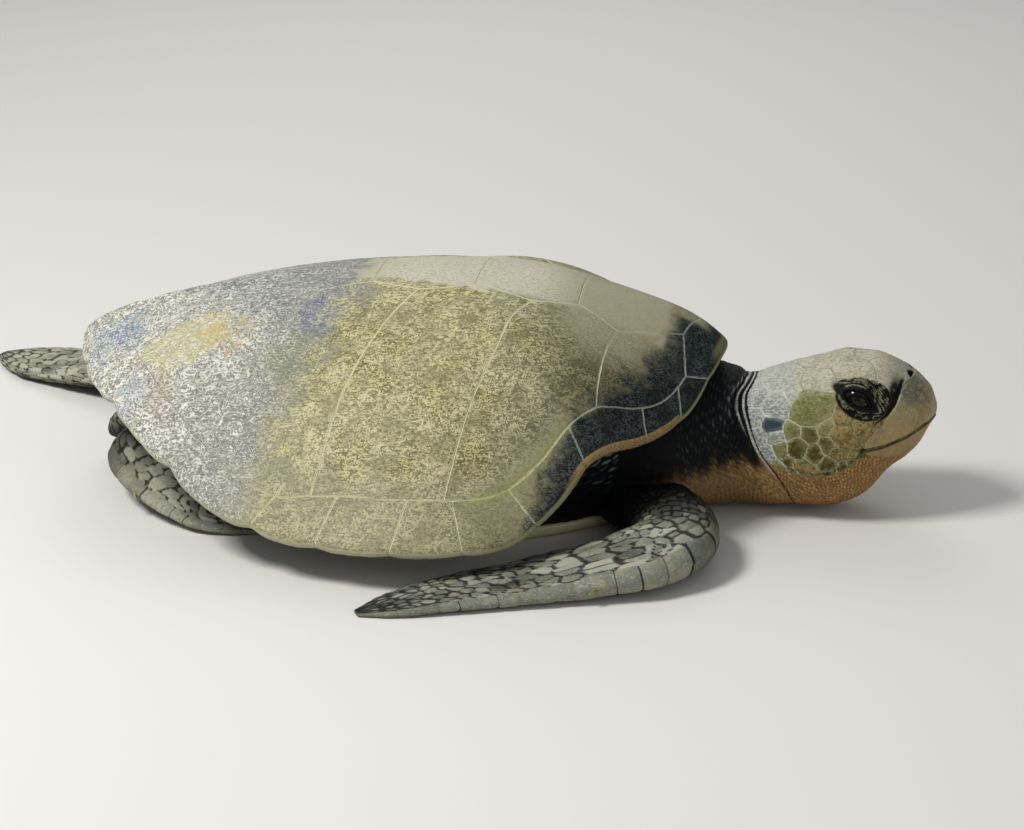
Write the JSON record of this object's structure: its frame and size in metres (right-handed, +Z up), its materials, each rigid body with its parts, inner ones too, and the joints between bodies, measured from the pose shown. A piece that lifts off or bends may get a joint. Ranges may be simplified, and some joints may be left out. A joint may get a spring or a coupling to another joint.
{
  "type": "olive ridley sea turtle model",
  "caption": "Life-size still model of an adult olive ridley sea turtle resting on its plastron, head up, flippers folded back along the floor.",
  "frame": {"origin": "on the floor under the middle of the carapace, on the plastron's resting flat", "axes": "+X towards the head, +Y towards the animal's left side, +Z up"},
  "size_m": [1.0623, 0.7174, 0.2288],
  "materials": {
    "carapace": "horny plates, olive grey with pale flaking flecks, dry and dusty",
    "marginal": "horny rim plates, olive grey with a pale edge",
    "plastron": "horny plates of the underside, cream yellow",
    "skin_pale": "head scales, grey olive with pale lines between them",
    "skin_dark": "wrinkled granular skin, blue black above and tan below",
    "skin_scaled": "scaled flipper skin, dark with pale cracks and leading edge",
    "horn": "beak and claws, pale horn, satin",
    "eye": "wet dark eye"
  },
  "bodies": {
    "root": {"nuchal": "carapace", "vertebral_1": "carapace", "vertebral_2": "carapace", "vertebral_3": "carapace", "vertebral_4": "carapace", "vertebral_5": "carapace", "vertebral_6": "carapace", "costal_right_1": "carapace", "costal_right_2": "carapace", "costal_right_3": "carapace", "costal_right_4": "carapace", "costal_right_5": "carapace", "costal_right_6": "carapace", "marginal_right_1": "marginal", "marginal_right_2": "marginal", "marginal_right_3": "marginal", "marginal_right_4": "marginal", "marginal_right_5": "marginal", "marginal_right_6": "marginal", "marginal_right_7": "marginal", "marginal_right_8": "marginal", "marginal_right_9": "marginal", "marginal_right_10": "marginal", "marginal_right_11": "marginal", "marginal_right_12": "marginal", "costal_left_1": "carapace", "costal_left_2": "carapace", "costal_left_3": "carapace", "costal_left_4": "carapace", "costal_left_5": "carapace", "costal_left_6": "carapace", "marginal_left_1": "marginal", "marginal_left_2": "marginal", "marginal_left_3": "marginal", "marginal_left_4": "marginal", "marginal_left_5": "marginal", "marginal_left_6": "marginal", "marginal_left_7": "marginal", "marginal_left_8": "marginal", "marginal_left_9": "marginal", "marginal_left_10": "marginal", "marginal_left_11": "marginal", "marginal_left_12": "marginal", "plastron": "plastron", "trunk": "skin_dark", "neck": "skin_dark", "tail": "skin_dark", "head": "skin_pale", "beak_upper": "horn", "beak_lower": "horn", "eye_right": "eye", "front_flipper_right": "skin_scaled", "hind_flipper_right": "skin_scaled", "claw_front_right": "horn", "claw_hind_right": "horn", "eye_left": "eye", "front_flipper_left": "skin_scaled", "hind_flipper_left": "skin_scaled", "claw_front_left": "horn", "claw_hind_left": "horn"}
  },
  "joints": []
}
